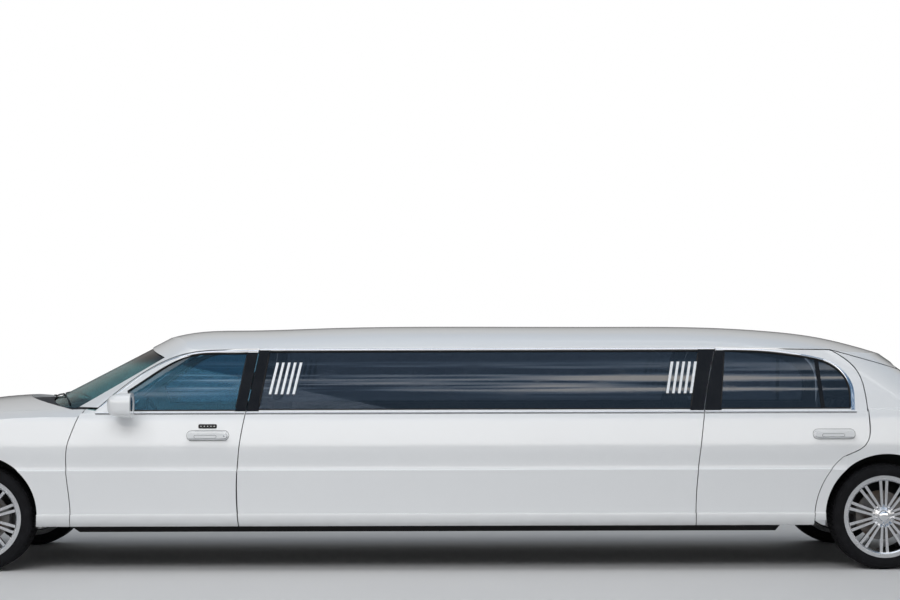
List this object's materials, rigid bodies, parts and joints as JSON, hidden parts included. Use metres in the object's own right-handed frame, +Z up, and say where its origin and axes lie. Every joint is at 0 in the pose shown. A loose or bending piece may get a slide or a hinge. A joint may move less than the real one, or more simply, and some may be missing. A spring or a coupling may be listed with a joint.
{
  "type": "stretch limousine",
  "caption": "White four-door stretch limousine with a long tinted window, opening doors, hood and boot lid, steered front wheels and spoked alloy wheels.",
  "frame": {"origin": "on the ground under the middle of the car's length, on its centre line", "axes": "+X towards the tail, -Y towards the driver's left side, +Z up"},
  "size_m": [8.5216, 2.348, 1.6349],
  "materials": {
    "white_paint": "gloss white clear-coated paint",
    "tinted_glass": "dark tinted side glass",
    "screen_glass": "green-grey screen glass",
    "bar_metal": "bright window bars",
    "bright_trim": "polished grille",
    "lamp_clear": "clear lamp lens",
    "lamp_red": "red lamp lens",
    "black_plastic": "black grained plastic",
    "dark_metal": "black underbody coating",
    "cast_metal": "cast iron and steel",
    "pipe_steel": "dull steel",
    "tank_plastic": "black tank",
    "cabin_leather": "black leather",
    "cabin_wood": "dark lacquered wood",
    "alloy": "polished alloy",
    "tyre": "black tyre rubber"
  },
  "bodies": {
    "chassis": {"stretch_panels": "white_paint", "long_windows": "tinted_glass", "window_bars": "bar_metal", "roof_panel": "white_paint", "windscreen": "screen_glass", "rear_window": "tinted_glass", "quarter_panels": "white_paint", "rear_deck": "white_paint", "front_fenders": "white_paint", "front_bumper": "white_paint", "rear_bumper": "white_paint", "grille": "bright_trim", "headlamps": "lamp_clear", "tail_lamps": "lamp_red", "firewall_cowl": "black_plastic", "floor_pan": "dark_metal", "frame_rails": "dark_metal", "wheelhouses": "dark_metal", "engine_block": "cast_metal", "rear_axle": "cast_metal", "propeller_shaft": "pipe_steel", "fuel_tank": "tank_plastic", "exhaust": "pipe_steel", "front_suspension": "cast_metal", "dashboard": "black_plastic", "steering_wheel": "cabin_leather", "front_seats": "cabin_leather", "lounge_seat": "cabin_leather", "bar_cabinet": "cabin_wood"},
    "door_front_left": {"door_front_left": "white_paint", "door_glass_front_left": "tinted_glass", "mirror_left": "white_paint"},
    "door_rear_left": {"door_rear_left": "white_paint", "door_glass_rear_left": "tinted_glass"},
    "door_front_right": {"door_front_right": "white_paint", "door_glass_front_right": "tinted_glass", "mirror_right": "white_paint"},
    "door_rear_right": {"door_rear_right": "white_paint", "door_glass_rear_right": "tinted_glass"},
    "hood": {"hood": "white_paint"},
    "trunk_lid": {"trunk_lid": "white_paint"},
    "knuckle_left": {"knuckle_left": "cast_metal"},
    "knuckle_right": {"knuckle_right": "cast_metal"},
    "wheel_front_left": {"wheel_front_left": "alloy", "tyre_front_left": "tyre"},
    "wheel_front_right": {"wheel_front_right": "alloy", "tyre_front_right": "tyre"},
    "wheel_rear_left": {"wheel_rear_left": "alloy", "tyre_rear_left": "tyre"},
    "wheel_rear_right": {"wheel_rear_right": "alloy", "tyre_rear_right": "tyre"}
  },
  "joints": [
    {"name": "door_front_left_hinge", "type": "hinge", "parent": "chassis", "child": "door_front_left", "pos_m": [-2.613, -0.993, 0.7], "axis": [0, 0, -1], "range_deg": [0, 66]},
    {"name": "door_rear_left_hinge", "type": "hinge", "parent": "chassis", "child": "door_rear_left", "pos_m": [1.584, -0.993, 0.7], "axis": [0, 0, -1], "range_deg": [0, 68]},
    {"name": "door_front_right_hinge", "type": "hinge", "parent": "chassis", "child": "door_front_right", "pos_m": [-2.613, 0.993, 0.7], "axis": [0, 0, 1], "range_deg": [0, 66]},
    {"name": "door_rear_right_hinge", "type": "hinge", "parent": "chassis", "child": "door_rear_right", "pos_m": [1.584, 0.993, 0.7], "axis": [0, 0, 1], "range_deg": [0, 68]},
    {"name": "hood_hinge", "type": "hinge", "parent": "chassis", "child": "hood", "pos_m": [-2.6, 0, 1.172], "axis": [0, 1, 0], "range_deg": [0, 50]},
    {"name": "trunk_hinge", "type": "hinge", "parent": "chassis", "child": "trunk_lid", "pos_m": [3.466, 0, 1.14], "axis": [0, -1, 0], "range_deg": [0, 72]},
    {"name": "steer_left", "type": "hinge", "parent": "chassis", "child": "knuckle_left", "pos_m": [-3.19, -0.773, 0.352], "axis": [0, 0, 1], "range_deg": [-33, 33]},
    {"name": "steer_right", "type": "hinge", "parent": "chassis", "child": "knuckle_right", "pos_m": [-3.19, 0.773, 0.352], "axis": [0, 0, 1], "range_deg": [-33, 33]},
    {"name": "wheel_front_left_spin", "type": "hinge", "parent": "knuckle_left", "child": "wheel_front_left", "pos_m": [-3.19, -0.833, 0.352], "axis": [0, 1, 0], "continuous": true},
    {"name": "wheel_front_right_spin", "type": "hinge", "parent": "knuckle_right", "child": "wheel_front_right", "pos_m": [-3.19, 0.833, 0.352], "axis": [0, 1, 0], "continuous": true},
    {"name": "wheel_rear_left_spin", "type": "hinge", "parent": "chassis", "child": "wheel_rear_left", "pos_m": [2.848, -0.833, 0.352], "axis": [0, 1, 0], "continuous": true},
    {"name": "wheel_rear_right_spin", "type": "hinge", "parent": "chassis", "child": "wheel_rear_right", "pos_m": [2.848, 0.833, 0.352], "axis": [0, 1, 0], "continuous": true}
  ],
  "couplings": [
    {"joint": "steer_right", "follows": "steer_left", "ratio": 1}
  ]
}
